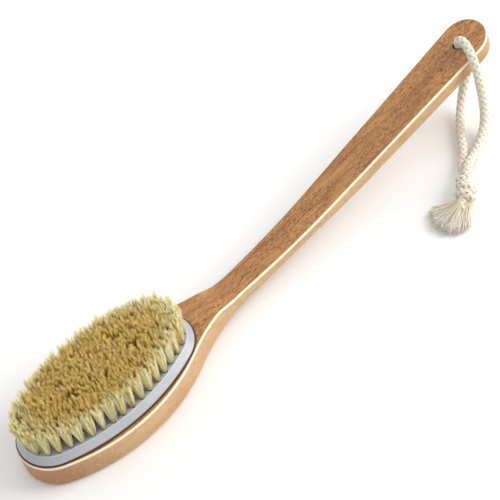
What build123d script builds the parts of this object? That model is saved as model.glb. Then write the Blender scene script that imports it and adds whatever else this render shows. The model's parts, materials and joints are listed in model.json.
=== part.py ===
"""Body dry brush: one-piece beech handle, tufted bristle plate and a knotted hanging cord.

Millimetres, +Z up. The brush lies on the flat back of its head, bristles upwards.
X runs along the handle towards the hanging hole. The origin is under the middle of
the brush's length, on the surface that it lies on.
"""
from build123d import *
import math
import os

# ---- Driving dimensions ----
overall_length = 400.0        # end of the head to the tip of the handle
head_length = 134.0           # the oval head, end to end along X
head_width = 74.0
head_thickness = 18.0
head_end_radius = 27.0        # the oval's small end arc
neck_width = 20.0             # narrowest place of the handle
neck_from_head_centre = 118.0
neck_arc_radius = 105.0       # hollow curve from the head into the neck
dip_from_head_centre = 84.0   # where the face leaves the head's height
dip_end = 95.0                # where it reaches the neck's height, from the head's centre
dip_depth = 2.8               # neck's face below the head's
dip_radius = 30.0
neck_rise = 0.045             # slope of the neck's face
tip_width = 31.4              # round end of the handle
handle_angle = 11.0           # rise of the handle above the head's face, degrees
bend_from_head_centre = 147.0
bend_radius = 520.0
underside_lift = 66.0         # where the back leaves the flat, from the head's centre
underside_bend = 205.0        # where the back takes up the handle's angle
underside_radius = 120.0
handle_thickness = 11.4       # at the underside's second bend
tip_thickness = 12.6
arris_radius = 1.2            # rounding of the bristle-side edge
back_edge_radius = 3.0        # rounding of the back's edge

hole_diameter = 8.0           # hanging hole
hole_from_tip = 20.5
hole_mouth_radius = 0.8

plate_length = 131.0          # bristle plate's flange
plate_width = 67.0
plate_end_radius = 25.0
plate_rise = 5.5              # flange above the wood
plate_bevel = 3.5             # how far the sloped side comes in
plate_edge = 1.2              # upright band under the sloped side
flange_overhang = 3.0         # flange beyond the spigot
spigot_depth = 4.0
recess_clearance = 0.25       # spigot to recess, all round
adhesive_thickness = 0.5
shadow_chamfer = 0.5          # under the flange's outer edge

tuft_inset = 5.5              # flange edge to the outer ring of tufts
tuft_pitch = 7.45             # along a ring
ring_step = 7.1               # from one ring to the next
inner_half_count = 2          # tufts each way from the centre in the two inner rows
middle_pitch = 8.0            # along the single row in the middle
middle_row_inset = 29.5       # flange end to the middle row's last tuft
tuft_hole_diameter = 3.2
tuft_hole_depth = 7.5
tuft_clearance = 0.08         # bristles to the hole's wall
tuft_top_diameter = 5.8
bristle_height = 20.0         # outer ring, above the plate
crown = 0.45                  # extra height from one ring to the next one in
anchor_length = 2.6           # wire that each tuft is folded over
anchor_height = 1.8
anchor_thickness = 0.35
anchor_clearance = 0.05

cord_diameter = 6.0
knot_length = 24.0
knot_diameter = 13.0
knot_mouth_diameter = 12.4    # takes both legs of the cord side by side
knot_foot_diameter = 10.0
tassel_root_diameter = 9.2
tassel_length = 21.0
tassel_spread = 28.0          # width of the frayed ends
tassel_height = 5.6
tassel_clearance = 0.1        # tassel's lowest place above the surface
fan_turn = -38.0              # the frayed ends lean towards the head, degrees
fan_middle_share = 0.45       # where the fan's middle section stands, from the knot
fan_middle_width = 0.3        # half width there, as a share of the spread
fan_middle_height = 0.42      # half height there, as a share of the root's diameter
fan_middle_drop = 0.75        # height there, as a share of the knot's
knot_swell_at = 0.4           # where the knot is thickest, from its mouth
arc_share = 0.45              # part of a run that an arc of the cord may take up

cut_margin = 5.0              # how far a cutting outline runs past the wood
upright = 0.05                # a face whose normal's Z is under this is a wall
level = 0.5                   # an edge whose direction's Z is under this runs along a rim

# ---- Places that follow from them ----
head_centre = head_length / 2 - overall_length / 2
tip_end = overall_length / 2
tip_centre = tip_end - tip_width / 2
rise = math.tan(math.radians(handle_angle))
bend = head_centre + bend_from_head_centre
plate_top = head_thickness + plate_rise
neck_height = head_thickness - dip_depth
hole_x = tip_end - hole_from_tip


def face_height(x):
    """Height of the straight part of the bristle-side face at x."""
    return head_thickness + rise * (x - bend)


def side_radius(length, width, end_radius):
    """Radius of the long side arcs of a four-arc oval."""
    a = length / 2
    b = width / 2
    return ((a - end_radius) ** 2 + b**2 - end_radius**2) / (2 * (b - end_radius))


def oval(length, width, end_radius):
    """Add a closed four-arc oval around the head's centre to the line being drawn."""
    a = length / 2
    b = width / 2
    side = side_radius(length, width, end_radius)
    share = (side - b) / (side - end_radius)
    joint_x = (a - end_radius) + end_radius * (a - end_radius) / (side - end_radius)
    joint_y = end_radius * share
    right = head_centre + joint_x
    left = head_centre - joint_x
    ThreePointArc((left, joint_y), (head_centre, b), (right, joint_y))
    ThreePointArc((right, joint_y), (head_centre + a, 0), (right, -joint_y))
    ThreePointArc((right, -joint_y), (head_centre, -b), (left, -joint_y))
    ThreePointArc((left, -joint_y), (head_centre - a, 0), (left, joint_y))


def oval_points(length, width, end_radius, pitch):
    """Evenly spaced points along a four-arc oval, about one pitch apart."""
    with BuildLine(mode=Mode.PRIVATE) as ring:
        oval(length, width, end_radius)
    path = ring.wire()
    count = round(path.length / pitch)
    places = [path @ (n / count) for n in range(count)]
    return [(place.X, place.Y) for place in places]


# ---- Wooden handle ----
def handle_outline():
    """Draw half of the plan from the head's end to the tip, as tangent arcs."""
    b = head_width / 2
    e = tip_width / 2
    side = side_radius(head_length, head_width, head_end_radius)
    side_centre = Vector(head_centre, b - side)
    end_centre = Vector(head_centre - head_length / 2 + head_end_radius, 0)
    end_joint = end_centre + (end_centre - side_centre).normalized() * head_end_radius
    span = tip_centre - head_centre - neck_from_head_centre
    half_neck = neck_width / 2
    taper = math.asin(e / math.hypot(span, half_neck)) - math.atan2(half_neck, span)
    along = Vector(math.cos(taper), math.sin(taper))
    outward = Vector(-math.sin(taper), math.cos(taper))
    tip_joint = Vector(tip_centre, 0) + outward * e
    reach = tip_joint + outward * neck_arc_radius - side_centre
    back = reach.dot(along)
    far = math.sqrt(back**2 - reach.dot(reach) + (side + neck_arc_radius) ** 2)
    neck_joint = tip_joint + along * (far - back)
    neck_centre = neck_joint + outward * neck_arc_radius
    side_joint = side_centre + (neck_centre - side_centre).normalized() * side
    toward_side = (side_joint - neck_centre).normalized()
    toward_neck = (neck_joint - neck_centre).normalized()
    neck_middle = neck_centre + (toward_side + toward_neck).normalized() * neck_arc_radius
    end_upper = (Vector(-1, 0) + (end_joint - end_centre).normalized()).normalized()
    tip_upper = (Vector(1, 0) + outward).normalized()
    ThreePointArc((head_centre - head_length / 2, 0), end_centre + end_upper * head_end_radius, end_joint)
    ThreePointArc(end_joint, (head_centre, b), side_joint)
    ThreePointArc(side_joint, neck_middle, neck_joint)
    Line(neck_joint, tip_joint)
    ThreePointArc(tip_joint, Vector(tip_centre, 0) + tip_upper * e, (tip_end, 0))


def handle_side():
    """Draw the side view: flat head, a dip into the thin neck, gentle bend and rising handle."""
    left = head_centre - head_length / 2 - cut_margin
    right = tip_end + cut_margin
    lift = head_centre + underside_lift
    second = head_centre + underside_bend
    second_height = face_height(second) - handle_thickness
    end_height = face_height(right) - tip_thickness
    dip_start = head_centre + dip_from_head_centre
    dip_foot = head_centre + dip_end
    meet = (neck_height - neck_rise * dip_foot - head_thickness + rise * bend) / (rise - neck_rise)
    top = [
        (left, head_thickness),
        (dip_start, head_thickness),
        (dip_foot, neck_height),
        (meet, face_height(meet)),
        (right, face_height(right)),
    ]
    back = [(left, 0), (lift, 0), (second, second_height), (right, end_height)]
    upper = FilletPolyline(*top, radius=(dip_radius, dip_radius, bend_radius))
    lower = FilletPolyline(*back, radius=underside_radius)
    Line(upper @ 0, lower @ 0)
    Line(upper @ 1, lower @ 1)


hole_plane = Plane(
    origin=(hole_x, 0, face_height(hole_x)),
    x_dir=(math.cos(math.radians(handle_angle)), 0, math.sin(math.radians(handle_angle))),
    z_dir=(-math.sin(math.radians(handle_angle)), 0, math.cos(math.radians(handle_angle))),
)

with BuildPart() as wooden_handle:
    with BuildSketch():
        with BuildLine():
            handle_outline()
            mirror(about=Plane.XZ)
        make_face()
    extrude(amount=face_height(tip_end) + cut_margin)
    with BuildSketch(Plane.XZ):
        with BuildLine():
            handle_side()
        make_face()
    extrude(amount=head_width, both=True, mode=Mode.INTERSECT)
    walls = wooden_handle.faces().filter_by(lambda face: abs(face.normal_at().Z) < upright)
    rims = walls.edges().filter_by(lambda edge: abs((edge % 0.5).Z) < level)
    middle = head_thickness / 2
    back_rims = rims.filter_by(
        lambda edge: edge.center().Z < max(middle, face_height(edge.center().X) - middle / 2)
    )
    fillet(back_rims, radius=back_edge_radius)
    walls = wooden_handle.faces().filter_by(lambda face: abs(face.normal_at().Z) < upright)
    rims = walls.edges().filter_by(lambda edge: abs((edge % 0.5).Z) < level)
    top_rims = rims.filter_by(
        lambda edge: edge.center().Z > max(neck_height, face_height(edge.center().X)) - level
    )
    fillet(top_rims, radius=arris_radius)
    with BuildSketch(hole_plane):
        Circle(hole_diameter / 2)
    extrude(amount=2 * tip_thickness, both=True, mode=Mode.SUBTRACT)
    mouths = wooden_handle.edges().filter_by(
        lambda edge: edge.geom_type != GeomType.LINE
        and (edge.center(CenterOf.BOUNDING_BOX) - hole_plane.origin).cross(hole_plane.z_dir).length < level
    )
    fillet(mouths, radius=hole_mouth_radius)
    recess_trim = 2 * (flange_overhang - recess_clearance)
    with BuildSketch(Plane.XY.offset(head_thickness)):
        with BuildLine():
            oval(plate_length - recess_trim, plate_width - recess_trim, plate_end_radius - recess_trim / 2)
        make_face()
    extrude(amount=-(spigot_depth + adhesive_thickness), mode=Mode.SUBTRACT)
wooden_handle.part.label = "wooden_handle"


# ---- Where the tufts stand: closed rings that follow the plate, and a middle row ----
def ring_places(inset):
    """Places of one ring of tufts, inset from the flange's edge."""
    return oval_points(plate_length - 2 * inset, plate_width - 2 * inset, plate_end_radius - inset, tuft_pitch)


def inner_arc_places():
    """Places of the two short rows that follow the plate's long sides inside the rings."""
    inset = tuft_inset + 3 * ring_step
    side = side_radius(plate_length, plate_width, plate_end_radius) - inset
    places = []
    for n in range(-inner_half_count, inner_half_count + 1):
        x = n * tuft_pitch
        y = plate_width / 2 - inset - side + math.sqrt(side**2 - x**2)
        places += [(head_centre + x, y), (head_centre + x, -y)]
    return places


def middle_row_places():
    """Places of the single row along the head's middle line, an even number of tufts.

    The two nearest the centre stand half a pitch from it, between the tufts of the inner rows.
    """
    half_count = math.floor((plate_length / 2 - middle_row_inset) / middle_pitch + 0.5)
    start = head_centre - (half_count - 0.5) * middle_pitch
    return [(start + n * middle_pitch, 0) for n in range(2 * half_count)]


tuft_rows = {
    "outer": ring_places(tuft_inset),
    "second": ring_places(tuft_inset + ring_step),
    "third": ring_places(tuft_inset + 2 * ring_step),
    "inner": inner_arc_places(),
    "middle": middle_row_places(),
}

# ---- Bristle plate: sloped flange, spigot in the handle's recess, blind tuft holes ----
with BuildPart() as bristle_plate:
    with BuildSketch(Plane.XY.offset(head_thickness)):
        with BuildLine():
            oval(plate_length, plate_width, plate_end_radius)
        make_face()
    extrude(amount=plate_rise)
    flange_rims = bristle_plate.edges().group_by(Axis.Z)
    chamfer(flange_rims[-1], length=plate_rise - plate_edge, length2=plate_bevel)
    chamfer(bristle_plate.edges().group_by(Axis.Z)[0], length=shadow_chamfer)
    spigot_trim = 2 * flange_overhang
    with BuildSketch(Plane.XY.offset(head_thickness)):
        with BuildLine():
            oval(plate_length - spigot_trim, plate_width - spigot_trim, plate_end_radius - flange_overhang)
        make_face()
    extrude(amount=-spigot_depth)
    with BuildSketch(Plane.XY.offset(plate_top)):
        for places in tuft_rows.values():
            with Locations(*places):
                Circle(tuft_hole_diameter / 2)
    extrude(amount=-tuft_hole_depth, mode=Mode.SUBTRACT)
bristle_plate.part.label = "bristle_plate"

with BuildPart() as plate_adhesive:
    with BuildSketch(Plane.XY.offset(head_thickness - spigot_depth - adhesive_thickness)):
        with BuildLine():
            oval(plate_length - spigot_trim, plate_width - spigot_trim, plate_end_radius - flange_overhang)
        make_face()
    extrude(amount=adhesive_thickness)
plate_adhesive.part.label = "plate_adhesive"


# ---- Tufts and the wires that hold them, one node for each ring ----
hole_floor = plate_top - tuft_hole_depth


def tuft(height):
    """One flared tuft of bristles on the Z axis, slotted at its root for its anchor."""
    root = tuft_hole_diameter / 2 - tuft_clearance
    slot = (tuft_hole_diameter, anchor_thickness + 2 * anchor_clearance, anchor_height + anchor_clearance)
    with BuildPart() as one_tuft:
        with BuildSketch(Plane.XZ):
            with BuildLine():
                Polyline(
                    (0, hole_floor),
                    (root, hole_floor),
                    (root, plate_top),
                    (tuft_top_diameter / 2, plate_top + height),
                    (0, plate_top + height),
                    close=True,
                )
            make_face()
        revolve(axis=Axis.Z)
        with Locations((0, 0, hole_floor)):
            Box(*slot, align=(Align.CENTER, Align.CENTER, Align.MIN), mode=Mode.SUBTRACT)
    return one_tuft.part


def anchor():
    """One flat wire on the Z axis, standing on the floor of a tuft hole."""
    size = (anchor_length, anchor_thickness, anchor_height)
    with BuildPart() as one_anchor:
        with Locations((0, 0, hole_floor)):
            Box(*size, align=(Align.CENTER, Align.CENTER, Align.MIN))
    return one_anchor.part


def copies(piece, places, label):
    """Copies of one small piece at the given places, as one labelled group."""
    with BuildPart() as group:
        with Locations(*places):
            add(piece)
    group.part.label = label
    return group.part


tuft_groups = [
    copies(tuft(bristle_height + order * crown), places, "tufts_" + name)
    for order, (name, places) in enumerate(tuft_rows.items())
]
anchor_groups = [copies(anchor(), places, "anchors_" + name) for name, places in tuft_rows.items()]

# ---- Hanging cord: knot, along the surface, over the handle, down the hole and back ----
cord_points = [
    (129.7, -49.7, 6.6),
    (134.6, -44.8, 6.6),
    (141.4, -40.4, 4.2),
    (149.2, -36.2, 3.15),
    (157.8, -31.4, 3.6),
    (164.6, -27.8, 7.4),
    (168.4, -25.6, 14.6),
    (170.1, -24.9, 23.6),
    (171.2, -24.1, 33.0),
    (172.5, -22.9, 41.6),
    (174.0, -20.6, 49.2),
    (175.9, -16.6, 54.6),
    (178.0, -11.2, 56.8),
    (179.2, -5.0, 57.2),
    (179.0, 0.0, 52.8),
    (181.2, 0.0, 41.6),
    (183.2, -0.4, 31.6),
    (180.8, -1.6, 24.6),
    (175.8, -2.8, 17.6),
    (171.0, -4.2, 10.4),
    (165.0, -7.6, 5.0),
    (157.4, -14.0, 3.15),
    (149.4, -22.4, 3.3),
    (141.8, -30.2, 3.15),
    (134.8, -36.4, 4.6),
    (129.8, -40.8, 6.6),
    (125.3, -45.3, 6.6),
]


def tube_radii(points):
    """Arc radius at each inner point: as large as its two runs allow."""
    radii = []
    for before, here, after in zip(points, points[1:], points[2:]):
        run_in = Vector(*here) - Vector(*before)
        run_out = Vector(*after) - Vector(*here)
        half_turn = math.radians(run_in.get_angle(run_out)) / 2
        radii.append(arc_share * min(run_in.length, run_out.length) / math.tan(half_turn))
    return radii


cord_radii = tube_radii(cord_points)
with BuildPart() as hanging_cord:
    with BuildLine() as cord_route:
        FilletPolyline(*cord_points, radius=cord_radii)
    with BuildSketch(Plane(origin=cord_route.line @ 0, z_dir=cord_route.line % 0)):
        Circle(cord_diameter / 2)
    sweep()
hanging_cord.part.label = "hanging_cord"

# ---- Overhand knot in both legs, and their frayed ends ----
knot_mouth = (Vector(*cord_points[0]) + Vector(*cord_points[-1])) / 2
knot_heading = (Vector(*cord_points[0]) - Vector(*cord_points[1])).normalized()
knot_across = Vector(0, 0, 1).cross(knot_heading)
knot_foot = knot_mouth + knot_heading * knot_length

with BuildPart() as cord_knot:
    with BuildSketch(Plane(origin=knot_mouth, x_dir=knot_heading, z_dir=(0, 0, 1))):
        with BuildLine():
            Polyline(
                (0, knot_mouth_diameter / 2),
                (0, 0),
                (knot_length, 0),
                (knot_length, knot_foot_diameter / 2),
            )
            ThreePointArc(
                (0, knot_mouth_diameter / 2),
                (knot_length * knot_swell_at, knot_diameter / 2),
                (knot_length, knot_foot_diameter / 2),
            )
        make_face()
    revolve(axis=Axis(knot_mouth, knot_heading))
cord_knot.part.label = "cord_knot"

fan_heading = knot_heading.rotate(Axis.Z, fan_turn)
fan_end = knot_foot + fan_heading * tassel_length
fan_end = Vector(fan_end.X, fan_end.Y, tassel_height / 2 + tassel_clearance)
fan_middle = knot_foot + knot_heading.rotate(Axis.Z, fan_turn / 2) * tassel_length * fan_middle_share
with BuildPart() as cord_tassel:
    with BuildSketch(Plane(origin=knot_foot, x_dir=knot_across, z_dir=knot_heading)):
        Circle(tassel_root_diameter / 2)
    with BuildSketch(
        Plane(
            origin=(fan_middle.X, fan_middle.Y, knot_mouth.Z * fan_middle_drop),
            x_dir=knot_across.rotate(Axis.Z, fan_turn / 2),
            z_dir=knot_heading.rotate(Axis.Z, fan_turn / 2),
        )
    ):
        Ellipse(tassel_spread * fan_middle_width, tassel_root_diameter * fan_middle_height)
    with BuildSketch(Plane(origin=fan_end, x_dir=knot_across.rotate(Axis.Z, fan_turn), z_dir=fan_heading)):
        Ellipse(tassel_spread / 2, tassel_height / 2)
    loft()
cord_tassel.part.label = "cord_tassel"

# ---- Write one STEP for each node ----
os.makedirs("parts", exist_ok=True)
export_step(wooden_handle.part, "parts/wooden_handle.step")
export_step(bristle_plate.part, "parts/bristle_plate.step")
export_step(plate_adhesive.part, "parts/plate_adhesive.step")
for group in tuft_groups + anchor_groups:
    export_step(group, "parts/" + group.label + ".step")
export_step(hanging_cord.part, "parts/hanging_cord.step")
export_step(cord_knot.part, "parts/cord_knot.step")
export_step(cord_tassel.part, "parts/cord_tassel.step")

cord_length = cord_route.wire().length
cord_section = math.pi * cord_diameter**2 / 4
print("cord arc radii", [round(radius, 1) for radius in cord_radii])
print("cord length", round(cord_length, 1))
print("tube volume against section times length", round(hanging_cord.part.volume / (cord_section * cord_length), 4))
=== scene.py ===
"""Body dry brush: beech handle, moulded plate, natural bristles and a braided cotton cord."""
import json
import math

import bpy
import numpy as np
from bpy.props import FloatProperty, FloatVectorProperty, IntProperty, PointerProperty
from mathutils import Matrix, Vector

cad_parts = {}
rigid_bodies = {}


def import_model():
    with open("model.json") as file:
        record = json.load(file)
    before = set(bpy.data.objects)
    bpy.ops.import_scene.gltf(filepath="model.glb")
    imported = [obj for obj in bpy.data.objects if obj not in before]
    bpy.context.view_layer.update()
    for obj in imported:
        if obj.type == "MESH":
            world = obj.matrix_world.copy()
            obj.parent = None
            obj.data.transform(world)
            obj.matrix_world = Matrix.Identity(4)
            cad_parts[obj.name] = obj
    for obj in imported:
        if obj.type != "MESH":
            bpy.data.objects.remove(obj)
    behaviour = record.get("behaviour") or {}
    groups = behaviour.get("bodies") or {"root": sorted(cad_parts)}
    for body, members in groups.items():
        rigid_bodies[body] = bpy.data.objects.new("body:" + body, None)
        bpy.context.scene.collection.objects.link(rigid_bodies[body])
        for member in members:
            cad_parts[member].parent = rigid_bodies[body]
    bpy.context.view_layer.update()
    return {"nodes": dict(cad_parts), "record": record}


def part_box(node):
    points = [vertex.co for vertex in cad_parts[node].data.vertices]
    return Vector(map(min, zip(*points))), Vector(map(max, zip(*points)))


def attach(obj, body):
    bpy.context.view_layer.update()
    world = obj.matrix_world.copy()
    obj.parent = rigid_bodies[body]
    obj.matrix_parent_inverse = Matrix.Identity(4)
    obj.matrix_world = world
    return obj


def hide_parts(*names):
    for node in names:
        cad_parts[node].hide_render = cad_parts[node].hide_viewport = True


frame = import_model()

bl_info = {
    "name": "Body dry brush",
    "version": (1, 0, 0),
    "blender": (4, 5, 0),
    "location": "View3D > Sidebar > Dry Brush",
    "description": "Bristles, braided cord, knot, tassel and finishes for a long-handled body brush",
    "category": "Object",
}

MM = 0.001
PLATE = [Vector(c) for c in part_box("bristle_plate")]
HEAD_X = (PLATE[0].x + PLATE[1].x) / 2
HALF_LENGTH = (PLATE[1].x - PLATE[0].x) / 2
HALF_WIDTH = (PLATE[1].y - PLATE[0].y) / 2
PLATE_END_RADIUS = 25 * MM
HEAD_TOP = PLATE[1].z - 5.5 * MM  # the plate's flange stands this high above the wood
SWING = next(joint for joint in frame["record"]["behaviour"]["joints"] if joint["name"] == "loop_swing")
HOLE = Vector(SWING["pos_m"])
HOLE_AXIS = Vector(SWING["axis"])
ROWS = {  # share of the hairs and of the flare that a ring's tufts have
    "outer": (1.0, 1.0),
    "second": (1.15, 1.02),
    "third": (1.38, 1.10),
    "inner": (2.1, 1.28),
    "middle": (2.1, 1.28),
}
LOCKS = 17  # pointed locks of hair in one tuft
GOLDEN_TURN = math.pi * (3 - math.sqrt(5))
FULL_TURN = 2 * np.pi
UP = np.array([0.0, 0.0, 1.0])


# ---- Settings that a user would change ----
def length_setting(name, description, default):
    """A length in metres."""
    return FloatProperty(name=name, description=description, default=default, unit="LENGTH", precision=5)


def angle_setting(name, description, degrees):
    """An angle whose default is given in degrees."""
    return FloatProperty(name=name, description=description, default=math.radians(degrees), unit="ROTATION")


def colour_setting(name, description, default):
    """A linear colour."""
    return FloatVectorProperty(name=name, description=description, default=default, subtype="COLOR", size=3)


class BristleSettings(bpy.types.PropertyGroup):
    """Sizes and colours of the tufts."""

    hairs: IntProperty(name="Hairs", description="Hairs in one tuft", default=240, min=20, max=240)
    hair_radius: length_setting("Hair radius", "Radius of a hair at its root", 0.125 * MM)
    root_radius: length_setting("Root radius", "Radius of a tuft in its hole", 1.3 * MM)
    flare: length_setting("Flare", "Radius of a tuft at its top", 4.25 * MM)
    doming: length_setting("Doming", "How much shorter a tuft's outermost hairs reach", 0.9 * MM)
    straggle: length_setting("Straggle", "Random lean of single hairs at their tips", 0.25 * MM)
    lock_radius: length_setting("Lock radius", "Radius of a pointed lock of hairs", 0.72 * MM)
    tip_colour: colour_setting("Tips", "Colour of the hair tips", (0.94, 0.735, 0.215))
    shaft_colour: colour_setting("Shafts", "Colour of the hair shafts", (0.84, 0.575, 0.135))
    # Edge: painted light on the outer tufts, and the colour of the pale split tips.
    tip_and_lit_edge_colour: colour_setting("Edge", "Colour of the outer tufts", (1.0, 0.96, 0.64))
    # Roots: painted shade deep between the hairs, and the colour of the darker hairs.
    dark_hair_and_root_shade_colour: colour_setting("Roots", "Colour deep between the hairs", (0.26, 0.12, 0.02))


class CordSettings(bpy.types.PropertyGroup):
    """Sizes and colours of the braided cord, its knot and its frayed ends."""

    diameter: length_setting("Diameter", "Diameter over the braid", 6.0 * MM)
    braid_pitch: length_setting("Braid pitch", "Length in which a strand goes once round", 19.0 * MM)
    yarn_colour: colour_setting("Yarn", "Colour of the cotton yarn", (0.79, 0.75, 0.665))
    shade_colour: colour_setting("Yarn shade", "Colour between the yarns", (0.40, 0.33, 0.21))
    fray_colour: colour_setting("Frayed yarn", "Colour of the frayed yarns' ends", (0.95, 0.91, 0.80))
    stain_colour: colour_setting("Raw cotton", "Darker natural tone in the yarn", (0.62, 0.45, 0.19))
    fray_count: IntProperty(name="Frays", description="Yarns in the tassel", default=520, min=50, max=900)


class WoodSettings(bpy.types.PropertyGroup):
    """Colours and figure of the lacquered beech."""

    light: colour_setting("Early wood", "Lighter wood", (0.56, 0.275, 0.078))
    dark: colour_setting("Late wood", "Darker wood", (0.31, 0.125, 0.030))
    fleck: colour_setting("Flecks", "Rays and pores along the grain", (0.19, 0.048, 0.010))
    # Side: paler side grain, and also painted light where the key light falls on the side.
    side: colour_setting("Side", "Lighter wood of the side", (0.60, 0.40, 0.215))
    # Side figure: darker streaks of the side, and also painted shade darkening the side near the tip.
    side_figure_and_shade: colour_setting("Side figure", "Darker streaks of the side", (0.45, 0.245, 0.100))
    # End grain: darker end grain, and also painted shade on the end of the head that faces away from the key
    # light.
    end_grain_and_shade: colour_setting("End grain", "Darker wood at the head's end", (0.36, 0.145, 0.040))
    # Arris: a painted highlight along the rounded edge.
    arris_highlight: colour_setting("Arris", "Polished rounding of the edge", (0.98, 0.83, 0.63))
    # Seam: painted shade in the gap between the plate and the wood.
    seam: colour_setting("Seam", "Dark line around the plate", (0.06, 0.014, 0.004))
    # Bore: painted shade inside the hanging hole.
    bore_shade: colour_setting("Bore", "Unlit wood inside the hanging hole", (0.012, 0.006, 0.003))


class StageSettings(bpy.types.PropertyGroup):
    """Camera and lights."""

    azimuth: angle_setting("Azimuth", "Direction that the camera looks from", -24.37)
    elevation: angle_setting("Elevation", "Camera above the surface", 47.3)
    roll: angle_setting("Roll", "Turn of the camera about its view", -22.2)
    distance: length_setting("Distance", "Camera to the middle of the view", 1.5)
    shift_right: length_setting("Right", "Middle of the view, right of the head's centre", 0.08742)
    shift_up: length_setting("Up", "Middle of the view, above the head's centre", 0.0849)
    lens: FloatProperty(name="Lens", description="Focal length in millimetres", default=177.45)
    key_power: FloatProperty(name="Key light", description="Power of the key light in watts", default=69.0)
    fill_power: FloatProperty(name="Fill light", description="Power of the fill light in watts", default=2.0)
    sky: FloatProperty(name="Sky", description="Strength of the white surroundings", default=0.76)


GROUPS = {
    "brush_bristles": BristleSettings,
    "brush_cord": CordSettings,
    "brush_wood": WoodSettings,
    "brush_stage": StageSettings,
}


# ---- Shader maths: sockets that add up like numbers ----
class Wire:
    """A value or colour socket; arithmetic on it adds Math nodes."""

    def __init__(self, sheet, socket):
        self.sheet = sheet
        self.socket = socket

    def _math(self, operation, first, second):
        return self.sheet.node("ShaderNodeMath", {"operation": operation}, [first, second])

    def __add__(self, other):
        return self._math("ADD", self, other)

    def __radd__(self, other):
        return self._math("ADD", other, self)

    def __sub__(self, other):
        return self._math("SUBTRACT", self, other)

    def __rsub__(self, other):
        return self._math("SUBTRACT", other, self)

    def __mul__(self, other):
        return self._math("MULTIPLY", self, other)

    def __rmul__(self, other):
        return self._math("MULTIPLY", other, self)

    def __truediv__(self, other):
        return self._math("DIVIDE", self, other)

    def __pow__(self, other):
        return self._math("POWER", self, other)

    def __neg__(self):
        return self._math("MULTIPLY", self, -1.0)

    def __abs__(self):
        return self.sheet.node("ShaderNodeMath", {"operation": "ABSOLUTE"}, [self])

    def sine(self):
        return self.sheet.node("ShaderNodeMath", {"operation": "SINE"}, [self])

    def least(self, other):
        return self._math("MINIMUM", self, other)

    def most(self, other):
        return self._math("MAXIMUM", self, other)

    def step(self, low, high):
        """0 below low, 1 above high, smooth between; where high is the lower one, the other way round."""
        values = [self, low, high, 0.0, 1.0]
        if low > high:
            values = [self, high, low, 1.0, 0.0]
        return self.sheet.node("ShaderNodeMapRange", {"interpolation_type": "SMOOTHSTEP"}, values)


class Finish:
    """One material: its nodes are added by type, settings and socket values."""

    def __init__(self, name):
        self.material = bpy.data.materials.new(name)
        self.material.use_nodes = True
        self.tree = self.material.node_tree
        self.shader = next(n for n in self.tree.nodes if n.type == "BSDF_PRINCIPLED")

    def node(self, kind, settings=None, values=(), output=0):
        """Add a node; values is a list in socket order or a dict by socket name."""
        made = self.tree.nodes.new(kind)
        for key, value in (settings or {}).items():
            setattr(made, key, value)
        pairs = values.items() if isinstance(values, dict) else enumerate(values)
        for key, value in pairs:
            if isinstance(value, Wire):
                self.tree.links.new(value.socket, made.inputs[key])
            else:
                made.inputs[key].default_value = value
        return Wire(self, made.outputs[output])

    def place(self, scale=(1, 1, 1), shift=(0, 0, 0)):
        """Object coordinates, scaled and shifted."""
        where = self.node("ShaderNodeTexCoord", output="Object")
        return self.node("ShaderNodeMapping", {"vector_type": "POINT"}, [where, shift, (0, 0, 0), scale])

    def noise(self, vector, scale=1.0, detail=3.0, rough=0.5, distortion=0.0):
        """Fractal noise from 0 to 1."""
        values = {"Vector": vector, "Scale": scale, "Detail": detail, "Roughness": rough}
        values["Distortion"] = distortion
        return self.node("ShaderNodeTexNoise", {"noise_dimensions": "3D"}, values)

    def parts(self, vector):
        """The X, Y and Z of a vector."""
        made = self.tree.nodes.new("ShaderNodeSeparateXYZ")
        self.tree.links.new(vector.socket, made.inputs[0])
        return [Wire(self, made.outputs[n]) for n in range(3)]

    def mix(self, share, first, second):
        """Mix two colours; each is a colour wire or three numbers."""
        values = {0: share, 6: self.colour(first), 7: self.colour(second)}
        return self.node("ShaderNodeMix", {"data_type": "RGBA"}, values, output=2)

    @staticmethod
    def colour(value):
        """Three numbers as a colour socket's four; a wire as it is."""
        return value if isinstance(value, Wire) else (*value, 1.0)

    def uv(self, name):
        """The two parts of a UV map of the piece."""
        return self.parts(self.node("ShaderNodeUVMap", {"uv_map": name}))[:2]

    def bump(self, height, strength, distance):
        """Bump from a height wire into the shader's Normal."""
        values = {"Height": height, "Strength": strength, "Distance": distance}
        self.set("Normal", self.node("ShaderNodeBump", {}, values))

    def set(self, socket, value):
        """Set or link one of the shader's own sockets."""
        if isinstance(value, Wire):
            self.tree.links.new(value.socket, self.shader.inputs[socket])
        else:
            self.shader.inputs[socket].default_value = value


# ---- Meshes from whole arrays ----
def corners(values, shape):
    """Four arrays, one for each corner of a quad, spread over a shape and stacked last."""
    return np.stack([np.broadcast_to(value, shape) for value in values], -1)


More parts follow.
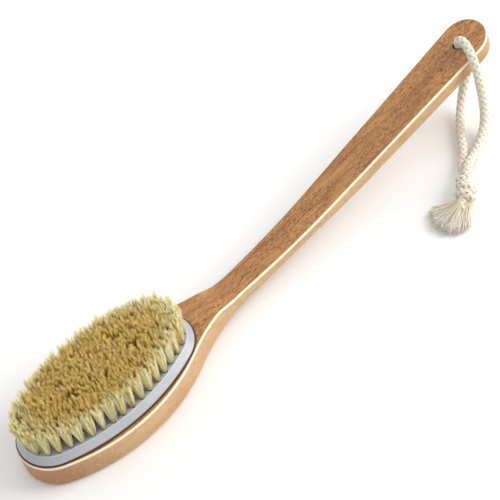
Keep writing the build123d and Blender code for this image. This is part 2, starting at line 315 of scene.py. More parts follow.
def tubes(name, centre, across, wide, thick, sides, tone, along=None):
    """Many closed tubes in one mesh.

    A point of a tube is its centre line plus wide x cos(a) along the across direction plus
    thick x sin(a) along tangent x across, for a going once round. The arrays are tube by step.
    UV map Around holds the turn and the length along; UV map Strand holds tone and share.
    """
    count, steps = centre.shape[:2]
    tangent = np.gradient(centre, axis=1)
    tangent /= np.linalg.norm(tangent, axis=2, keepdims=True)
    across = across - tangent * np.sum(across * tangent, axis=2, keepdims=True)
    across /= np.linalg.norm(across, axis=2, keepdims=True)
    other = np.cross(tangent, across)
    angle = np.linspace(0, FULL_TURN, sides, endpoint=False)
    ring = centre[:, :, None, :] + across[:, :, None, :] * (wide[:, :, None] * np.cos(angle))[..., None]
    ring = ring + other[:, :, None, :] * (thick[:, :, None] * np.sin(angle))[..., None]
    index = np.arange(count * steps * sides).reshape(count, steps, sides)
    low, high = index[:, :-1], index[:, 1:]
    quads = np.stack([low, np.roll(low, -1, axis=2), np.roll(high, -1, axis=2), high], axis=-1)
    starts = index[:, 0, ::-1]
    ends = index[:, -1]
    turn = np.linspace(0, 1, sides + 1)
    if along is None:
        hops = np.linalg.norm(np.diff(centre, axis=1), axis=2)
        along = np.concatenate([np.zeros((count, 1)), np.cumsum(hops, axis=1)], axis=1)
    share = np.broadcast_to(np.linspace(0, 1, steps), (count, steps))
    shape, cap = (count, steps - 1, sides), (count, sides)
    quad_turn = corners([turn[:-1], turn[1:], turn[1:], turn[:-1]], shape)
    low, high = along[:, :-1, None], along[:, 1:, None]
    quad_along = corners([low, low, high, high], shape)
    low, high = share[:, :-1, None], share[:, 1:, None]
    quad_share = corners([low, low, high, high], shape)
    quad_tone = np.broadcast_to(tone[:, None, None, None], (*shape, 4))
    cap_turn, cap_tone = np.broadcast_to(turn[:-1], cap), np.broadcast_to(tone[:, None], cap)
    around = [
        np.stack([quad_turn, quad_along], -1),
        np.stack([cap_turn, np.broadcast_to(along[:, :1], cap)], -1),
        np.stack([cap_turn, np.broadcast_to(along[:, -1:], cap)], -1),
    ]
    strand = [
        np.stack([quad_tone, quad_share], -1),
        np.stack([cap_tone, np.zeros(cap)], -1),
        np.stack([cap_tone, np.ones(cap)], -1),
    ]
    maps = {
        label: np.concatenate([part.reshape(-1, 2) for part in parts])
        for label, parts in (("Around", around), ("Strand", strand))
    }
    loops = np.concatenate([quads.reshape(-1), starts.reshape(-1), ends.reshape(-1)])
    sizes = np.concatenate([np.full(quads.size // 4, 4), np.full(2 * count, sides)])
    return mesh_object(name, ring.reshape(-1, 3), loops, sizes, maps)


def mesh_object(name, points, loops, sizes, uvs):
    """A smooth-shaded object from points, the corners of its faces and its UV maps."""
    mesh = bpy.data.meshes.new(name)
    mesh.vertices.add(len(points))
    mesh.vertices.foreach_set("co", np.ascontiguousarray(points, dtype=np.float32).ravel())
    mesh.loops.add(len(loops))
    mesh.loops.foreach_set("vertex_index", loops.astype(np.int32))
    mesh.polygons.add(len(sizes))
    mesh.polygons.foreach_set("loop_start", np.concatenate([[0], np.cumsum(sizes)[:-1]]).astype(np.int32))
    mesh.update(calc_edges=True)
    for label, values in uvs.items():
        layer = mesh.uv_layers.new(name=label)
        layer.data.foreach_set("uv", np.ascontiguousarray(values, dtype=np.float32).ravel())
    mesh.polygons.foreach_set("use_smooth", np.ones(len(sizes), dtype=bool))
    mesh.validate()
    made = bpy.data.objects.new(name, mesh)
    bpy.context.scene.collection.objects.link(made)
    return made


def join(pieces, name):
    """Join several new objects into one with the given name."""
    for piece in bpy.context.view_layer.objects:
        piece.select_set(piece in pieces)
    bpy.context.view_layer.objects.active = pieces[0]
    bpy.ops.object.join()
    pieces[0].name = name
    pieces[0].data.name = name
    return pieces[0]


def give(piece, material):
    """Give a new piece or a CAD node one material."""
    if not piece.material_slots:
        piece.data.materials.append(material)
    for slot in piece.material_slots:
        slot.material = material


# ---- Tufts of bristles ----
def tuft_places(node):
    """Centres of the tufts of a CAD ring, from the rims of their roots."""
    level, rim_width = 0.01 * MM, 3.3 * MM
    mesh = frame["nodes"][node].data
    points = np.empty(len(mesh.vertices) * 3)
    mesh.vertices.foreach_get("co", points)
    points = points.reshape(-1, 3)
    rims = points[points[:, 2] < points[:, 2].min() + level, :2]
    centres = []  # taken rim by rim
    while len(rims):
        near = np.linalg.norm(rims - rims[0], axis=1) < rim_width
        centres.append((rims[near].min(axis=0) + rims[near].max(axis=0)) / 2)
        rims = rims[~near]
    return np.array(centres)


def bristle_row(row, seed, settings):
    """One ring of tufts as a fan of tapered hairs from each root.

    Each tuft has a few pointed locks, spread over its disc on a sunflower spiral. A hair goes from
    near its lock's share of the root disc to near the same share of the wider top disc.
    """
    peak, sunk = 0.6 * MM, 1.2 * MM  # above the CAD tuft's top, and below the plate's
    lock_scatter, tuft_lean = 0.10, 0.35 * MM
    stray_share, stray_reach = 0.04, 1.1 * MM
    hair_spread, lock_spread, point_drop = 0.5 * MM, 1.1 * MM, 1.3 * MM
    lowest_lock, highest_lock = -3 * MM, 1.3 * MM
    stops = np.array([0.0, 0.45, 0.8, 1.0])
    taper = np.array([1.0, 1.0, 0.85, 0.3])
    fan_power, bow_spread = 1.25, 0.5 * MM

    chance = np.random.default_rng(seed)
    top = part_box("tufts_" + row)[1].z + peak
    start = PLATE[1].z - sunk
    places = tuft_places("tufts_" + row)
    hairs = round(settings.hairs * ROWS[row][0])
    flare = settings.flare * ROWS[row][1]
    count, total = len(places) * hairs, len(places) * LOCKS
    owner = np.repeat(np.arange(len(places)), LOCKS)
    order = np.arange(total) % LOCKS
    ray = np.sqrt((order + 0.5) / LOCKS)
    spin = order * GOLDEN_TURN + chance.random(len(places))[owner] * FULL_TURN
    spot = np.stack([np.cos(spin), np.sin(spin)], axis=1) * ray[:, None]
    spot = spot + chance.normal(0, lock_scatter, (total, 2))
    lock = np.repeat(np.arange(len(places)), hairs) * LOCKS + chance.integers(0, LOCKS, count)
    base = places[owner[lock]]
    lean = chance.normal(0, tuft_lean, (len(places), 2))[owner[lock]]
    turn = chance.random(count) * FULL_TURN
    loose = np.stack([np.cos(turn), np.sin(turn)], axis=1) * np.sqrt(chance.random(count))[:, None]
    root = base + (spot[lock] * 0.75 + loose * 0.35) * settings.root_radius
    tip = base + lean + spot[lock] * flare + loose * settings.lock_radius
    tip = tip + chance.normal(0, 1, (count, 2)) * settings.straggle
    strays = chance.random(count) < stray_share
    tip[strays] += chance.normal(0, stray_reach, (int(strays.sum()), 2))
    height = top - start - settings.doming * ray[lock] ** 2 + chance.normal(0, hair_spread, count)
    height = height + chance.normal(0, lock_spread, total).clip(lowest_lock, highest_lock)[lock]
    height = height - point_drop * np.linalg.norm(loose, axis=1)
    tone = 0.6 * chance.random(total)[lock] + 0.4 * chance.random(count)
    bow = chance.normal(0, bow_spread, (count, 2))
    flat = root[:, None, :] + (tip - root)[:, None, :] * (stops**fan_power)[None, :, None]
    flat = flat + bow[:, None, :] * (stops * (1 - stops))[None, :, None] * 4
    centre = np.concatenate([flat, (start + height[:, None] * stops)[..., None]], axis=2)
    radius = settings.hair_radius * (0.85 + 0.3 * chance.random(count))
    wide = radius[:, None] * taper
    across = np.broadcast_to(np.array([1.0, 0.0, 0.0]), centre.shape)
    return tubes("bristles_" + row, centre, across, wide, wide, 3, tone)


# ---- Cord route and braid ----
CORE_SHARE = 0.36  # the braid's core and its yarns' mean distance from the axis, in diameters
KNOT_MOUTH = (127.5, -47.5, 7.05)
CORD_ROUTE = [
    (128.6, -48.6, 9.2),
    (134.1, -44.2, 8.0),
    (141.4, -40.4, 4.2),
    (149.2, -36.2, 3.15),
    (157.8, -31.4, 3.6),
    (164.6, -27.8, 7.4),
    (168.4, -25.6, 14.6),
    (170.1, -24.9, 23.6),
    (171.2, -24.1, 33.0),
    (172.5, -22.9, 41.6),
    (174.0, -20.6, 49.2),
    (175.9, -16.6, 54.6),
    (178.0, -11.2, 56.8),
    (179.2, -5.0, 57.2),
    (179.0, 0.0, 52.8),
    (181.2, 0.0, 41.6),
    (183.2, -0.4, 31.6),
    (180.4, -1.0, 24.6),
    (174.7, -1.2, 17.6),
    (169.7, -2.2, 10.4),
    (163.7, -5.7, 5.0),
    (156.2, -12.2, 3.15),
    (148.6, -21.3, 3.3),
    (141.8, -30.2, 3.15),
    (135.6, -36.8, 3.5),
    (130.8, -40.9, 4.9),
    (126.4, -46.4, 4.6),
]


def smooth_line(points, step):
    """Even points, one step apart, along the smooth spline that the control points steer."""
    curve = bpy.data.curves.new("route", "CURVE")
    curve.dimensions = "3D"
    curve.resolution_u = 32
    spline = curve.splines.new("NURBS")
    spline.points.add(len(points) - 1)
    for point, place in zip(spline.points, points):
        point.co = (*place, 1.0)
    spline.order_u = 3
    spline.use_endpoint_u = True
    holder = bpy.data.objects.new("route", curve)
    bpy.context.scene.collection.objects.link(holder)
    line = bpy.data.meshes.new_from_object(holder)
    places = np.array([vertex.co for vertex in line.vertices], dtype=float)
    bpy.data.objects.remove(holder)
    bpy.data.curves.remove(curve)
    bpy.data.meshes.remove(line)
    run = np.concatenate([[0], np.cumsum(np.linalg.norm(np.diff(places, axis=0), axis=1))])
    even = np.linspace(0, run[-1], max(2, round(run[-1] / step)))
    return np.stack([np.interp(even, run, places[:, axis]) for axis in range(3)], axis=1)


def steady_frame(line):
    """Tangent and two cross directions along a line, turned as little as possible."""
    tangent = np.gradient(line, axis=0)
    tangent /= np.linalg.norm(tangent, axis=1, keepdims=True)
    first = np.cross(tangent[0], [0.3, 0.2, 1.0])
    cross = [first / np.linalg.norm(first)]
    for direction in tangent[1:]:
        turned = cross[-1] - direction * np.dot(cross[-1], direction)
        cross.append(turned / np.linalg.norm(turned))
    cross = np.array(cross)
    return tangent, cross, np.cross(tangent, cross)


def braid(name, line, diameter, pitch, seed):
    """A round braid of eight yarns along a line.

    Four yarns wind one way and four the other; a yarn at angle a stands off the axis by a mean
    radius plus a wave of four a, so that it passes over one crossing yarn and under the next.
    """
    wave_share, flat_share, broad_share = 0.05, 0.112, 0.222  # of the diameter
    chance = np.random.default_rng(seed)
    hops = np.linalg.norm(np.diff(line, axis=0), axis=1)
    run = np.concatenate([[0], np.cumsum(hops)])
    _, side, up = steady_frame(line)
    hand = np.repeat([1.0, -1.0], 4)[:, None]
    angle = hand * FULL_TURN * run / pitch + np.tile(np.arange(4) * np.pi / 2, 2)[:, None]
    radius = diameter * (CORE_SHARE + wave_share * hand * np.cos(4 * angle))
    out = side[None] * np.cos(angle)[..., None] + up[None] * np.sin(angle)[..., None]
    centre = line[None] + out * radius[..., None]
    flat = np.full(angle.shape, diameter * flat_share)
    broad = np.full(angle.shape, diameter * broad_share)
    return tubes(name, centre, out, flat, broad, 10, chance.random(8), np.broadcast_to(run, angle.shape))


def core(name, line, radius):
    """A plain round core along a line, so that nothing shows through the braid."""
    _, side, _ = steady_frame(line)
    size = np.full((1, len(line)), radius) if np.isscalar(radius) else np.asarray(radius)[None]
    return tubes(name, line[None], side[None], size, size, 14, np.array([0.1]))


def knot_axis():
    """Where the knot starts, the way it points and the way across it."""
    heading = np.array([-1.0, -1.0, 0.0]) / math.sqrt(2)
    return np.array(KNOT_MOUTH) * MM, heading, np.cross(UP, heading)


def hanging_cord(settings):
    """The loop: a braid and its core along the spline that the route's points steer."""
    step = 0.5 * MM
    line = smooth_line(np.array(CORD_ROUTE) * MM, step)
    strands = braid("cord_strands", line, settings.diameter, settings.braid_pitch, 11)
    filling = core("cord_filling", line, settings.diameter * CORE_SHARE)
    return join([strands, filling], "cord_braid"), line


def knot(settings):
    """The overhand knot: slanted turns of the braid around both legs, and one end that leaves it.

    A turn's centre line stands off the knot's axis by a radius that swells in the middle, at angle
    a, and lies along the axis at pitch x a / full turn plus slant x cos(a); it dives towards the
    axis at both ends. The legs and the end are straight or gently bent braids along the axis.
    """
    turns, dive_share, slant = 2.75, 0.06, 3.7 * MM
    waist, swelling, belly_out = 3.3 * MM, 0.8 * MM, 0.9 * MM
    first_turn, turns_length = 7.6 * MM, 14.6 * MM
    leg_aside, leg_above, leg_length = 1.6 * MM, 2.3 * MM, 13 * MM
    mouth, heading, across = knot_axis()
    size = settings.diameter * 0.95
    angle = np.linspace(0, FULL_TURN * turns, 260)
    share = np.linspace(0, 1, len(angle))
    dive = np.clip(np.minimum(share, 1 - share) / dive_share, 0, 1)
    swell = waist + swelling * np.sin(np.pi * share) ** 0.7
    off = swell * (0.45 + 0.55 * dive * dive * (3 - 2 * dive))
    reach = first_turn + turns_length * share + slant * np.cos(angle - 0.3)
    belly = belly_out * np.sin(np.pi * share)
    wrap = mouth + heading * reach[:, None] + across * belly[:, None]
    wrap = wrap + across * (off * np.cos(angle))[:, None] + UP * (off * np.sin(angle))[:, None]
    made = [braid("knot_turns", wrap, size, settings.braid_pitch, 21)]
    for number, side in enumerate((-1, 1)):
        sunk = np.linspace(0, 1, 50)
        leg = mouth + heading * (-0.4 * MM + leg_length * sunk)[:, None]
        leg = leg + across * (side * leg_aside * (1 - 0.3 * sunk))[:, None]
        leg = leg + UP * (side * leg_above * (1 - 0.6 * sunk))[:, None]
        made.append(braid(f"knot_leg_{number}", leg, settings.diameter, settings.braid_pitch, 31 + number))
        made.append(core(f"knot_leg_core_{number}", leg, settings.diameter * CORE_SHARE))
    out = np.linspace(0, 1, 40)
    stub = mouth + heading * (18.0 * MM + 12.0 * MM * out)[:, None]
    stub = stub - across * (0.6 * MM + 1.4 * MM * out)[:, None]
    stub = stub + UP * (1.6 * MM - 2.6 * MM * out**1.6)[:, None]
    made.append(braid("knot_end", stub, size, settings.braid_pitch, 41))
    made.append(core("knot_end_core", stub, size * CORE_SHARE))
    along = np.linspace(0, 1, 30)
    middle = mouth + heading * (3.5 * MM + 21.0 * MM * along)[:, None]
    made.append(core("knot_filling", middle, (2.6 + 1.7 * np.sin(np.pi * along) ** 0.5) * MM))
    return join(made, "cord_knot_wraps")


def tassel(settings):
    """The frayed ends: wavy tapered yarns from the knot's foot to an arc of tips.

    A yarn is a cubic Bezier line from the foot disc, along the knot's heading at first and along
    its own way at the end, plus small sine waves across it. Neighbours are drawn into locks.
    """
    fan_middle, fan_half = math.radians(-37), math.radians(45)
    foot_reach, foot_radius, foot_drop = 19.5 * MM, 3.6 * MM, 0.6 * MM
    yarn_length, edge_shorter = 26.5 * MM, 3.5 * MM
    tip_low, tip_spread = 0.5 * MM, 4.6 * MM
    yarn_radius, thinning, lowest = 0.34, 0.10, 0.35 * MM
    chance = np.random.default_rng(51)
    mouth, heading, across = knot_axis()
    count = settings.fray_count
    turn = chance.random(count) * FULL_TURN
    share = np.sqrt(chance.random(count))
    side, rise = share * np.cos(turn), share * np.sin(turn)
    locks = np.sort(chance.uniform(-1, 1, 30))
    drawn = locks[np.abs(side[:, None] - locks).argmin(axis=1)]
    lean = fan_middle + (side * 0.35 + drawn * 0.65) * fan_half
    lean = lean + chance.normal(0, math.radians(2.5), count)
    way = heading * np.cos(lean)[:, None] + across * np.sin(lean)[:, None]
    foot = mouth + heading * foot_reach
    start = foot + across * (side * foot_radius)[:, None] + UP * (rise * foot_radius - foot_drop)[:, None]
    long = yarn_length - edge_shorter * side**2 + chance.normal(0, 0.8 * MM, count)
    long = long + 1.1 * MM * np.sin(drawn * 23)
    tip = foot + way * long[:, None]
    tip[:, 2] = tip_low + (rise * 0.5 + 0.5) * tip_spread * (0.75 + 0.25 * chance.random(count))
    first = start + heading * (long * 0.30)[:, None] + UP * (0.8 * MM * rise)[:, None]
    last = tip - way * (long * 0.32)[:, None] + UP * (1.5 * MM * (0.4 + rise))[:, None]
    last[:, 2] = np.maximum(last[:, 2], 0.6 * MM)
    t = np.linspace(0, 1, 10)[None, :, None]
    line = (1 - t) ** 3 * start[:, None] + 3 * (1 - t) ** 2 * t * first[:, None]
    line = line + 3 * (1 - t) * t**2 * last[:, None] + t**3 * tip[:, None]
    aside = np.broadcast_to(np.cross(way, UP)[:, None, :], line.shape)
    t = t[..., 0]
    wave = np.sin(t * 19 + chance.random((count, 1)) * 6.3) * t * 0.42 * MM
    lift = np.sin(t * 15 + chance.random((count, 1)) * 6.3) * t * 0.25 * MM
    line = line + aside * wave[..., None] + UP * lift[..., None]
    line[..., 2] = np.maximum(line[..., 2], lowest)
    thick = (yarn_radius - thinning * t) * MM * (0.8 + 0.4 * chance.random((count, 1)))
    thick[:, -1] *= 0.45
    return tubes("cord_tassel_yarns", line, aside, thick, thick * 0.85, 5, chance.random(count))


# ---- Finishes ----
DIP_SLOPE = 2.8 / 11  # the face drops behind the head, rises gently in the neck, then with the handle
NECK_RISE = 0.045
HANDLE_RISE = math.tan(math.radians(11))
FACE_BENDS = [  # where along X, change of slope, half length of the rounding
    (HEAD_X + 84 * MM, -DIP_SLOPE, 3.70 * MM),
    (HEAD_X + 95 * MM, DIP_SLOPE + NECK_RISE, 4.375 * MM),
    (HEAD_X + 143.92 * MM, HANDLE_RISE - NECK_RISE, 37.92 * MM),
]


def face_depth(x, z):
    """How far a point lies under the handle's bristle side: flat, a dip, the neck, the slope.

    The face's height is the head's plus a rounded ramp for each bend of the side view:
    slope change x (half length x u^2 + what lies past the bend), u from 0 to 1 along the bend.
    """
    height = HEAD_TOP
    for bend, change, half in FACE_BENDS:
        share = ((x - (bend - half)) / (2 * half)).most(0.0).least(1.0)
        past = (x - (bend + half)).most(0.0)
        height = (share * share * half + past) * change + height
    return height - z


def plate_distance(x, y):
    """How far a point lies outside the plate's outline, an oval of two long and two end arcs."""
    centre = HALF_LENGTH - PLATE_END_RADIUS
    long = (centre**2 + HALF_WIDTH**2 - PLATE_END_RADIUS**2) / (2 * (HALF_WIDTH - PLATE_END_RADIUS))
    drop = long - HALF_WIDTH
    out_x, out_y = abs(x - HEAD_X), abs(y)
    by_side = (out_x * out_x + (out_y + drop) ** 2) ** 0.5 - long
    by_end = ((out_x - centre) * (out_x - centre) + out_y * out_y) ** 0.5 - PLATE_END_RADIUS
    choice = ((out_y + drop) * centre - out_x * drop) * 1e6
    return by_end + (by_side - by_end) * choice.step(-0.5, 0.5)


def beech(settings):
    """Lacquered beech: growth bands, fibres and short flecks along X, a pale arris that is a painted
    highlight, and painted light and shade on the side, around the plate and in the hole.
    """
    finish = Finish("satin_beech")
    where = finish.node("ShaderNodeTexCoord", output="Object")
    x, y, z = finish.parts(where)
    depth = face_depth(x, z)
    side = depth.step(0.9 * MM, 1.7 * MM)
    # mask for the painted highlight along the arris
    arris_highlight = depth.step(0.05 * MM, 0.25 * MM) * depth.step(2.3 * MM, 1.3 * MM)
    # masks for the head's end (end grain and painted shade) and the tip (painted shade)
    head_end, handle_end = (-x).step(0.148, 0.197), x.step(0.150, 0.194)
    bands = finish.noise(finish.place((7, 85, 60)), 1.0, 4.0, 0.55, 0.6)
    streaks = finish.noise(finish.place((16, 260, 200), shift=(0.3, 0.1, 0.2)), 1.0, 3.0, 0.6, 0.2)
    fibres = finish.noise(finish.place((75, 1500, 1300)), 1.0, 2.0, 0.6)
    dashes = finish.noise(finish.place((290, 1450, 1200)), 1.0, 0.0)
    ticks = finish.noise(finish.place((470, 1900, 1600), shift=(0.7, 0.4, 0.1)), 1.0, 0.0)
    patches = finish.noise(finish.place((22, 50, 50)), 1.0, 2.0)
    drift = finish.noise(finish.place((12, 40, 40), shift=(0.2, 0.5, 0.3)), 1.0, 2.0, 0.5)
    rings = (((y + z * 0.6) + (drift - 0.5) * 0.042) * 900).sine().step(0.72, 1.0)
    shade = bands.step(0.36, 0.64) * 0.45 + streaks.step(0.36, 0.66) * 0.35 + rings * 0.45
    marks = (dashes.step(0.59, 0.66) * 0.85).most(ticks.step(0.60, 0.67) * 0.80) * patches.step(0.25, 0.50)
    # the bristle side
    wood = finish.mix(shade, settings.light, settings.dark)
    wood = finish.mix(fibres.step(0.45, 0.72) * 0.34, wood, settings.fleck)
    wood = finish.mix(marks * (1 - side * 0.6), wood, settings.fleck)
    # the side: paler partly by its grain and partly by painted light, darker towards the bottom, with
    # painted shade at the head's end and near the tip
    low = depth.step(2.5 * MM, 15 * MM)
    pale = finish.mix(streaks.step(0.30, 0.75) * 0.35 + low * 0.35, settings.side, settings.side_figure_and_shade)
    pale = finish.mix(fibres.step(0.45, 0.75) * 0.25 + marks * 0.4 + rings * 0.1, pale, settings.dark)
    # end grain and painted shade at the head's end
    pale = finish.mix(head_end * (0.70 + dashes.step(0.5, 0.62) * 0.20), pale, settings.end_grain_and_shade)
    # painted shade near the tip
    pale = finish.mix(handle_end * 0.9, pale, settings.side_figure_and_shade)
    # the side takes the paler colour: side grain and painted light
    wood = finish.mix(side * 0.9, wood, pale)
    # the arris's painted highlight, the painted shade of the seam around the plate and the painted shade
    # inside the hole
    wood = finish.mix(arris_highlight * 0.9, wood, settings.arris_highlight)
    # painted shade in the gap between the plate and the wood
    seam = plate_distance(x, y).step(1.9 * MM, 0.5 * MM) * depth.step(0.6 * MM, 0.1 * MM)
    wood = finish.mix(seam * 0.9, wood, settings.seam)
    # painted shade inside the hanging hole
    off = (x - HOLE.x) * HOLE_AXIS.z - (z - HOLE.z) * HOLE_AXIS.x
    bore_shade = (off * off + y * y).step((4.5 * MM) ** 2, (4.0 * MM) ** 2)
    wood = finish.mix(bore_shade * 0.95, wood, settings.bore_shade)
    finish.set("Base Color", wood)
    finish.set("Roughness", 0.36 + fibres * 0.12 + marks * 0.12)
    finish.set("Coat Weight", 0.25)
    finish.set("Coat Roughness", 0.28)
    finish.bump(fibres * 0.5 - marks * 0.8 + streaks * 0.2, 0.22, 0.12 * MM)
    return finish.material


def moulded_plastic():
    """Cool white moulded plastic with a faint satin grain, slight unevenness and a painted highlight along
    the upper rim.
    """
    finish = Finish("white_moulded_plastic")
    where = finish.place()
    cloud = finish.noise(where, 55.0, 3.0)
    grain = finish.noise(where, 2600.0, 2.0)
    _, _, z = finish.parts(where)
    # painted highlight along the plate's upper rim
    rim_highlight = z.step(PLATE[1].z - 0.9 * MM, PLATE[1].z - 0.1 * MM)
    colour = finish.mix(cloud.step(0.3, 0.7), (0.395, 0.410, 0.440), (0.440, 0.455, 0.485))
    finish.set("Base Color", finish.mix(rim_highlight * 0.35, colour, (0.68, 0.70, 0.74)))
    finish.set("Roughness", 0.30 + grain * 0.12)
    finish.bump(grain + cloud * 2.0, 0.08, 0.05 * MM)
    return finish.material


def bristle(settings):
    """Natural bristle: dark painted shade deep in the brush, gold along the shaft and pale at the split
    tips.

    The outer tufts get painted light: paler than the middle ones, by the share of the plate's oval they
    stand at.
    """
    finish = Finish("natural_bristle")
    tone, share = finish.uv("Strand")
    where = finish.node("ShaderNodeTexCoord", output="Object")
    x, y, _ = finish.parts(where)
    along, over = (x - HEAD_X) / HALF_LENGTH, y / HALF_WIDTH
    # mask for the painted light on the outer tufts
    edge = (along * along + over * over).step(0.42, 0.85)
    clump = finish.noise(where, 160.0, 2.0)
    bright = tone.step(0.1, 0.9) * 0.6 + clump.step(0.35, 0.65) * 0.4
    middle = finish.mix(bright, settings.shaft_colour, settings.tip_colour)
    outer = finish.mix(tone.step(0.15, 0.6), settings.tip_colour, settings.tip_and_lit_edge_colour)
    hair = finish.mix(edge, middle, outer)
    # painted shade deep between the hairs, less at the outer tufts
    deep = share.step(0.6, 0.15) * (1 - edge * 0.95)
    hair = finish.mix(deep, hair, settings.dark_hair_and_root_shade_colour)
    hair = finish.mix(tone.step(0.74, 0.88) * 0.8 * (1 - edge * 0.9), hair, settings.dark_hair_and_root_shade_colour)
    hair = finish.mix(share.step(0.86, 1.0) * 0.35, hair, settings.tip_and_lit_edge_colour)
    finish.set("Base Color", hair)
    finish.set("Roughness", 0.42 + tone * 0.2)
    finish.set("Specular IOR Level", 0.35)
    return finish.material


def cotton(name, settings, frayed):
    """Cotton yarn: fine filaments twisted along each strand, with soft shade between them.

    Frayed yarn is paler, with less shade, and shows its raw tone near the knot.
    """
    finish = Finish(name)
    tone, share = finish.uv("Strand")
    turn, along = finish.uv("Around")
    where = finish.place()
    lines = (turn * 31.4 + along * (3600.0 if frayed else 2600.0)).sine() * 0.5 + 0.5
    fuzz = finish.noise(where, 1500.0, 3.0, 0.6)
    crest = (turn * 2 * math.pi + math.pi / 2).sine()
    gap = crest.step(0.85, 0.1) * (0.1 if frayed else 0.6)
    shade = lines * 0.10 + fuzz.step(0.40, 0.75) * 0.15 + tone * 0.06 + gap
    yarn = finish.mix(shade, settings.fray_colour if frayed else settings.yarn_colour, settings.shade_colour)
    if frayed:
        raw = share.step(0.95, 0.10) * (0.32 + tone.step(0.45, 0.8) * 0.63)
    else:
        raw = finish.noise(where, 130.0, 2.0).step(0.45, 0.7) * 0.15
    finish.set("Base Color", finish.mix(raw, yarn, settings.stain_colour))
    finish.set("Roughness", 0.82 + fuzz * 0.12)
    finish.set("Specular IOR Level", 0.2)
    finish.set("Sheen Weight", 0.25)
    finish.set("Sheen Roughness", 0.4)
    finish.bump(lines * 0.6 + fuzz, 0.5, 0.12 * MM)
    return finish.material


def brass_wire():
    """Drawn brass wire with fine lengthways lines."""
    finish = Finish("drawn_brass_wire")
    lines = finish.noise(finish.place((400, 9000, 9000)), 1.0, 2.0)
    finish.set("Base Color", finish.mix(lines, (0.60, 0.43, 0.16), (0.78, 0.60, 0.28)))
    finish.set("Metallic", 1.0)
    finish.set("Roughness", 0.25 + lines * 0.2)
    return finish.material


def hot_melt():
    """Cloudy cream adhesive with small bubbles."""
    finish = Finish("hot_melt_adhesive")
    cloud = finish.noise(finish.place(), 90.0, 3.0)
    bubbles = finish.noise(finish.place(), 900.0, 1.0)
    finish.set("Base Color", finish.mix(cloud, (0.66, 0.56, 0.36), (0.80, 0.74, 0.56)))
    finish.set("Roughness", 0.45 + bubbles.step(0.55, 0.7) * 0.2)
    finish.bump(cloud + bubbles, 0.2, 0.1 * MM)
    return finish.material


def studio_floor():
    """Matt white studio floor with a trace of mottling."""
    finish = Finish("studio_floor")
    mottle = finish.noise(finish.place(), 3.0, 2.0)
    finish.set("Base Color", finish.mix(mottle, (0.93, 0.93, 0.93), (0.95, 0.95, 0.95)))
    finish.set("Roughness", 0.9)
    finish.set("Specular IOR Level", 0.1)
    return finish.material


# ---- Stage ----
def camera_axes(settings):
    """Right, up and back of the camera."""
    turn, lift = settings.azimuth, settings.elevation
    back = Vector((math.sin(turn) * math.cos(lift), -math.cos(turn) * math.cos(lift), math.sin(lift)))
    level = Vector((math.cos(turn), math.sin(turn), 0.0))
    upright = back.cross(level)
    right = level * math.cos(settings.roll) + upright * math.sin(settings.roll)
    return right, back.cross(right), back


def add_camera(settings):
    """The camera, rolled about its own view, at a distance from a point beside the head's centre."""
    right, up, back = camera_axes(settings)
    data = bpy.data.cameras.new("brush_camera")
    data.lens = settings.lens
    data.sensor_width = 36.0
    made = bpy.data.objects.new("brush_camera", data)
    bpy.context.scene.collection.objects.link(made)
    target = Vector((HEAD_X, 0, HEAD_TOP)) + right * settings.shift_right + up * settings.shift_up
    where = target + back * settings.distance
    turn = Matrix((right, up, back)).transposed()
    made.matrix_world = Matrix.Translation(where) @ turn.to_4x4()
    bpy.context.scene.camera = made


def add_light(name, where, size, power, colour):
    """A square soft light at a place, facing the middle of the brush."""
    data = bpy.data.lights.new(name, "AREA")
    data.size = size
    data.energy = power
    data.color = colour
    made = bpy.data.objects.new(name, data)
    bpy.context.scene.collection.objects.link(made)
    made.location = where
    facing = Vector(where) - Vector((0, 0, 0.02))
    made.rotation_euler = facing.to_track_quat("Z", "Y").to_euler()


def add_floor():
    """A level sheet far larger than the view, just under the brush."""
    reach, below = np.array([-3.0, 3.0]), -0.2 * MM
    x, y = np.meshgrid(reach, reach)
    points = np.stack([x.ravel(), y.ravel(), np.full(4, below)], axis=1)
    floor = mesh_object("floor", points, np.array([0, 1, 3, 2]), np.array([4]), {})
    give(floor, studio_floor())


# ---- Operators ----
class BRUSH_OT_stage(bpy.types.Operator):
    """Add the camera, the soft lights and the pale floor"""

    bl_idname = "dry_brush.stage"
    bl_label = "Stage"

    def execute(self, context):
        settings = context.scene.brush_stage
        add_camera(settings)
        add_light("key", (2.08, -1.28, 1.35), 1.92, settings.key_power, (1.0, 0.985, 0.96))
        add_light("fill", (0.5, 0.9, 1.3), 1.2, settings.fill_power, (0.93, 0.96, 1.0))
        world = bpy.data.worlds.new("studio")
        world.use_nodes = True
        ground = world.node_tree.nodes["Background"]
        ground.inputs["Color"].default_value = (1, 1, 1, 1)
        ground.inputs["Strength"].default_value = settings.sky
        context.scene.world = world
        context.scene.view_settings.view_transform = "Standard"
        add_floor()
        return {"FINISHED"}


class BRUSH_OT_cord(bpy.types.Operator):
    """Braid the hanging cord along its route, with its knot and frayed ends"""

    bl_idname = "dry_brush.cord"
    bl_label = "Cord, knot and tassel"

    def execute(self, context):
        settings = context.scene.brush_cord
        loop, line = hanging_cord(settings)
        tied, frayed = knot(settings), tassel(settings)
        woven = cotton("braided_cotton", settings, False)
        give(loop, woven)
        give(tied, woven)
        give(frayed, cotton("frayed_cotton", settings, True))
        for piece, node, name in (
            (loop, "hanging_cord", "cotton_cord"),
            (tied, "cord_knot", "cotton_knot"),
            (frayed, "cord_tassel", "cotton_tassel"),
        ):
            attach(piece, "cord_loop")
            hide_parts(node)
        return {"FINISHED"}


class BRUSH_OT_bristles(bpy.types.Operator):
    """Set the tufts of natural bristle in the plate, ring by ring"""

    bl_idname = "dry_brush.bristles"
    bl_label = "Bristles"

    def execute(self, context):
        settings = context.scene.brush_bristles
        material = bristle(settings)
        for number, row in enumerate(ROWS):
            piece = bristle_row(row, 100 + number, settings)
            give(piece, material)
            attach(piece, "brush")
            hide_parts("tufts_" + row)
        return {"FINISHED"}


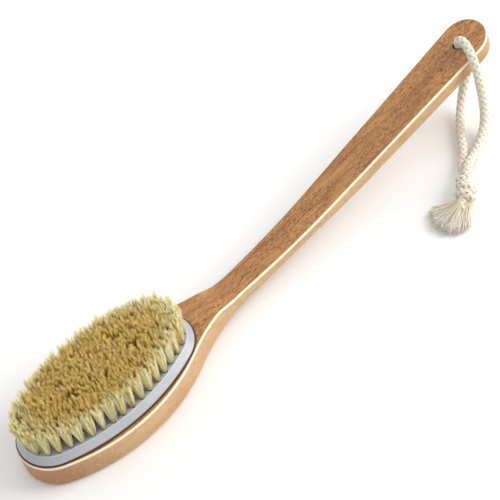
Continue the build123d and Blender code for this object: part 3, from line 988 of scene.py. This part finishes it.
class BRUSH_OT_handle(bpy.types.Operator):
    """Finish the wooden handle in satin beech"""

    bl_idname = "dry_brush.handle"
    bl_label = "Beech handle"

    def execute(self, context):
        give(frame["nodes"]["wooden_handle"], beech(context.scene.brush_wood))
        return {"FINISHED"}


class BRUSH_OT_plate(bpy.types.Operator):
    """Finish the moulded plate, its adhesive bed and the anchor wires"""

    bl_idname = "dry_brush.plate"
    bl_label = "Plate, adhesive and anchors"

    def execute(self, context):
        give(frame["nodes"]["bristle_plate"], moulded_plastic())
        give(frame["nodes"]["plate_adhesive"], hot_melt())
        wire = brass_wire()
        for row in ROWS:
            give(frame["nodes"]["anchors_" + row], wire)
        return {"FINISHED"}


class BRUSH_PT_panel(bpy.types.Panel):
    """Lists the brush's settings and makers"""

    bl_idname = "BRUSH_PT_panel"
    bl_label = "Body dry brush"
    bl_space_type = "VIEW_3D"
    bl_region_type = "UI"
    bl_category = "Dry Brush"

    def draw(self, context):
        for name in GROUPS:
            box = self.layout.box()
            settings = getattr(context.scene, name)
            for prop in settings.bl_rna.properties:
                if prop.identifier not in {"rna_type", "name"}:
                    box.prop(settings, prop.identifier)
        for maker in MAKERS:
            self.layout.operator(maker.bl_idname)


MAKERS = (BRUSH_OT_stage, BRUSH_OT_cord, BRUSH_OT_bristles, BRUSH_OT_handle, BRUSH_OT_plate)


def register():
    for group in GROUPS.values():
        bpy.utils.register_class(group)
    for name, group in GROUPS.items():
        setattr(bpy.types.Scene, name, PointerProperty(type=group))
    for maker in MAKERS:
        bpy.utils.register_class(maker)
    bpy.utils.register_class(BRUSH_PT_panel)


def unregister():
    bpy.utils.unregister_class(BRUSH_PT_panel)
    for maker in reversed(MAKERS):
        bpy.utils.unregister_class(maker)
    for name in GROUPS:
        delattr(bpy.types.Scene, name)
    for group in reversed(list(GROUPS.values())):
        bpy.utils.unregister_class(group)


def main():
    """Make every piece in order."""
    register()
    bpy.ops.dry_brush.stage()
    bpy.ops.dry_brush.cord()
    bpy.ops.dry_brush.bristles()
    bpy.ops.dry_brush.handle()
    bpy.ops.dry_brush.plate()
    bpy.context.view_layer.update()


if __name__ == "__main__":
    main()
